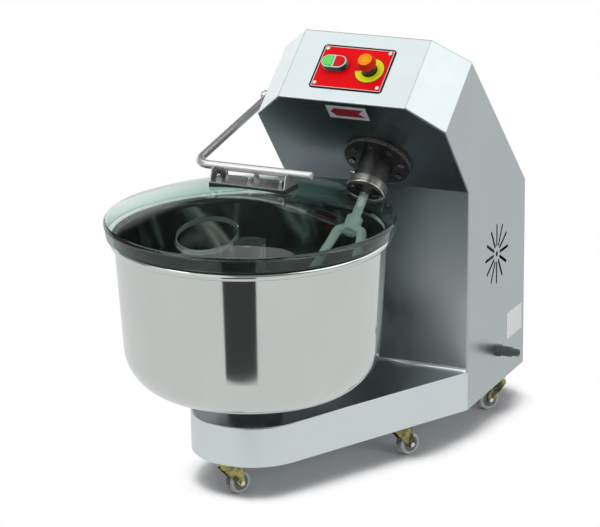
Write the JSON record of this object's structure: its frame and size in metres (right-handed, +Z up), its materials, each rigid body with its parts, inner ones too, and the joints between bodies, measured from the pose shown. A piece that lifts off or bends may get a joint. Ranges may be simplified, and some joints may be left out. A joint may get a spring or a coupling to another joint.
{
  "type": "dough mixer",
  "caption": "Floor-standing fork dough mixer: a turning steel bowl with a clear hinged lid, an inclined fork driven from a leaning steel column, and a low base on castors.",
  "frame": {"origin": "On the floor, under the middle of the bounding box, with the castor wheels resting at z = 0", "axes": "+Z up; +Y towards the column's back; the bowl and the control panel face -Y; +X to the right as seen from the front"},
  "size_m": [0.701, 1.0295, 0.908],
  "materials": {
    "casing_steel": "satin",
    "bowl_steel": "polished",
    "plain_steel": "machined",
    "arm_steel": "satin",
    "black_steel": "satin",
    "screw_steel": "polished",
    "cast": "matte",
    "bronze": "satin",
    "motor_paint": "satin",
    "belt_rubber": "matte",
    "lid_clear": "gloss",
    "gasket_rubber": "matte",
    "panel_red": "gloss",
    "bezel_black": "satin",
    "button_green": "gloss",
    "button_red": "gloss",
    "collar_yellow": "matte",
    "arrow_red": "satin",
    "label_white": "satin",
    "gland_grey": "satin",
    "zinc_yellow": "satin",
    "wheel_grey": "satin"
  },
  "bodies": {
    "frame": {"column_casing": "casing_steel", "base_plinth": "casing_steel", "base_plate": "casing_steel", "rear_cover": "casing_steel", "panel_screws": "screw_steel", "castor_plates": "zinc_yellow", "control_plate": "panel_red", "button_bezel": "bezel_black", "estop_ring": "collar_yellow", "estop_collar": "bezel_black", "arrow_label": "arrow_red", "rating_label": "label_white", "cable_gland": "gland_grey", "shaft_flange": "black_steel", "socket_screws": "screw_steel", "bearing_neck": "black_steel", "neck_ring": "plain_steel", "seal_plate": "black_steel", "shaft_bearings": "plain_steel", "fork_gearbox": "cast", "motor": "motor_paint", "motor_shelf": "casing_steel", "v_belts": "belt_rubber", "lay_blocks": "cast", "bowl_gearbox": "cast", "bearing_box": "cast", "lid_pivot_pin": "plain_steel"},
    "bowl_unit": {"bowl": "bowl_steel", "bowl_post": "bowl_steel", "bowl_hub": "plain_steel", "bowl_spindle": "plain_steel", "bowl_wheel": "bronze"},
    "bowl_input": {"bowl_worm": "plain_steel", "bowl_pulley": "cast"},
    "lay_unit": {"layshaft": "plain_steel"},
    "motor_rotor": {"motor_shaft": "plain_steel", "motor_pulley": "cast"},
    "fork_input": {"fork_worm": "plain_steel", "fork_pulley": "cast"},
    "fork_unit": {"fork_shaft": "plain_steel", "fork_wheel": "bronze", "mixing_fork": "plain_steel"},
    "lid_unit": {"lid": "lid_clear", "lid_gasket": "gasket_rubber", "lid_bracket": "arm_steel", "lid_nuts": "black_steel", "lid_arm": "arm_steel"},
    "start": {"start_button": "button_green"},
    "stop": {"stop_button": "button_red"},
    "emergency_stop": {"estop_button": "button_red"},
    "front_swivel": {"front_castor_fork": "zinc_yellow"},
    "front_wheel": {"front_castor_wheel": "wheel_grey"},
    "middle_right_swivel": {"middle_right_castor_fork": "zinc_yellow"},
    "middle_right_wheel": {"middle_right_castor_wheel": "wheel_grey"},
    "middle_left_swivel": {"middle_left_castor_fork": "zinc_yellow"},
    "middle_left_wheel": {"middle_left_castor_wheel": "wheel_grey"},
    "rear_right_swivel": {"rear_right_castor_fork": "zinc_yellow"},
    "rear_right_wheel": {"rear_right_castor_wheel": "wheel_grey"},
    "rear_left_swivel": {"rear_left_castor_fork": "zinc_yellow"},
    "rear_left_wheel": {"rear_left_castor_wheel": "wheel_grey"}
  },
  "joints": [
    {"name": "bowl_spin", "type": "hinge", "parent": "frame", "child": "bowl_unit", "pos_m": [-0.043, -0.20725, 0.212], "axis": [0, 0, 1], "continuous": true},
    {"name": "bowl_input_spin", "type": "hinge", "parent": "frame", "child": "bowl_input", "pos_m": [-0.043, -0.14525, 0.116], "axis": [1, 0, 0], "continuous": true},
    {"name": "lay_spin", "type": "hinge", "parent": "frame", "child": "lay_unit", "pos_m": [0.079, 0.25475, 0.116], "axis": [1, 0, 0], "continuous": true},
    {"name": "motor_spin", "type": "hinge", "parent": "frame", "child": "motor_rotor", "pos_m": [0.079, 0.33575, 0.384], "axis": [1, 0, 0], "continuous": true},
    {"name": "fork_input_spin", "type": "hinge", "parent": "frame", "child": "fork_input", "pos_m": [0.1125, 0.21844, 0.65565], "axis": [1, 0, 0], "continuous": true},
    {"name": "fork_spin", "type": "hinge", "parent": "frame", "child": "fork_unit", "pos_m": [0.1125, 0.10559, 0.64405], "axis": [0, -0.7771, -0.6293], "continuous": true},
    {"name": "lid_hinge", "type": "hinge", "parent": "frame", "child": "lid_unit", "pos_m": [-0.187, 0.18475, 0.737], "axis": [-1, 0, 0], "range_deg": [0, 50]},
    {"name": "start_press", "type": "slide", "parent": "frame", "child": "start", "axis": [0, 0.6293, -0.7771], "range_m": [0, 0.003], "stiffness_N_per_m": 400},
    {"name": "stop_press", "type": "slide", "parent": "frame", "child": "stop", "axis": [0, 0.6293, -0.7771], "range_m": [0, 0.003], "stiffness_N_per_m": 400},
    {"name": "emergency_press", "type": "slide", "parent": "frame", "child": "emergency_stop", "axis": [0, 0.6293, -0.7771], "range_m": [0, 0.005], "stiffness_N_per_m": 600},
    {"name": "front_swivel_turn", "type": "hinge", "parent": "frame", "child": "front_swivel", "pos_m": [-0.045, -0.32425, 0.071], "axis": [0, 0, 1], "continuous": true},
    {"name": "front_wheel_roll", "type": "hinge", "parent": "front_swivel", "child": "front_wheel", "pos_m": [-0.035, -0.30693, 0.025], "axis": [-0.866, 0.5, 0], "continuous": true},
    {"name": "middle_right_swivel_turn", "type": "hinge", "parent": "frame", "child": "middle_right_swivel", "pos_m": [0.197, 0.02275, 0.071], "axis": [0, 0, 1], "continuous": true},
    {"name": "middle_right_wheel_roll", "type": "hinge", "parent": "middle_right_swivel", "child": "middle_right_wheel", "pos_m": [0.207, 0.04007, 0.025], "axis": [-0.866, 0.5, 0], "continuous": true},
    {"name": "middle_left_swivel_turn", "type": "hinge", "parent": "frame", "child": "middle_left_swivel", "pos_m": [-0.12, 0.02675, 0.071], "axis": [0, 0, 1], "continuous": true},
    {"name": "middle_left_wheel_roll", "type": "hinge", "parent": "middle_left_swivel", "child": "middle_left_wheel", "pos_m": [-0.11, 0.04407, 0.025], "axis": [-0.866, 0.5, 0], "continuous": true},
    {"name": "rear_right_swivel_turn", "type": "hinge", "parent": "frame", "child": "rear_right_swivel", "pos_m": [0.278, 0.38475, 0.071], "axis": [0, 0, 1], "continuous": true},
    {"name": "rear_right_wheel_roll", "type": "hinge", "parent": "rear_right_swivel", "child": "rear_right_wheel", "pos_m": [0.26569, 0.36899, 0.025], "axis": [0.788, -0.6157, 0], "continuous": true},
    {"name": "rear_left_swivel_turn", "type": "hinge", "parent": "frame", "child": "rear_left_swivel", "pos_m": [-0.12, 0.38475, 0.071], "axis": [0, 0, 1], "continuous": true},
    {"name": "rear_left_wheel_roll", "type": "hinge", "parent": "rear_left_swivel", "child": "rear_left_wheel", "pos_m": [-0.13231, 0.36899, 0.025], "axis": [0.788, -0.6157, 0], "continuous": true}
  ],
  "couplings": [
    {"joint": "bowl_input_spin", "follows": "bowl_spin", "ratio": 24},
    {"joint": "lay_spin", "follows": "bowl_spin", "ratio": 37.091},
    {"joint": "motor_spin", "follows": "bowl_spin", "ratio": 54.091},
    {"joint": "fork_input_spin", "follows": "bowl_spin", "ratio": 21.929},
    {"joint": "fork_spin", "follows": "bowl_spin", "ratio": 2.7411}
  ]
}
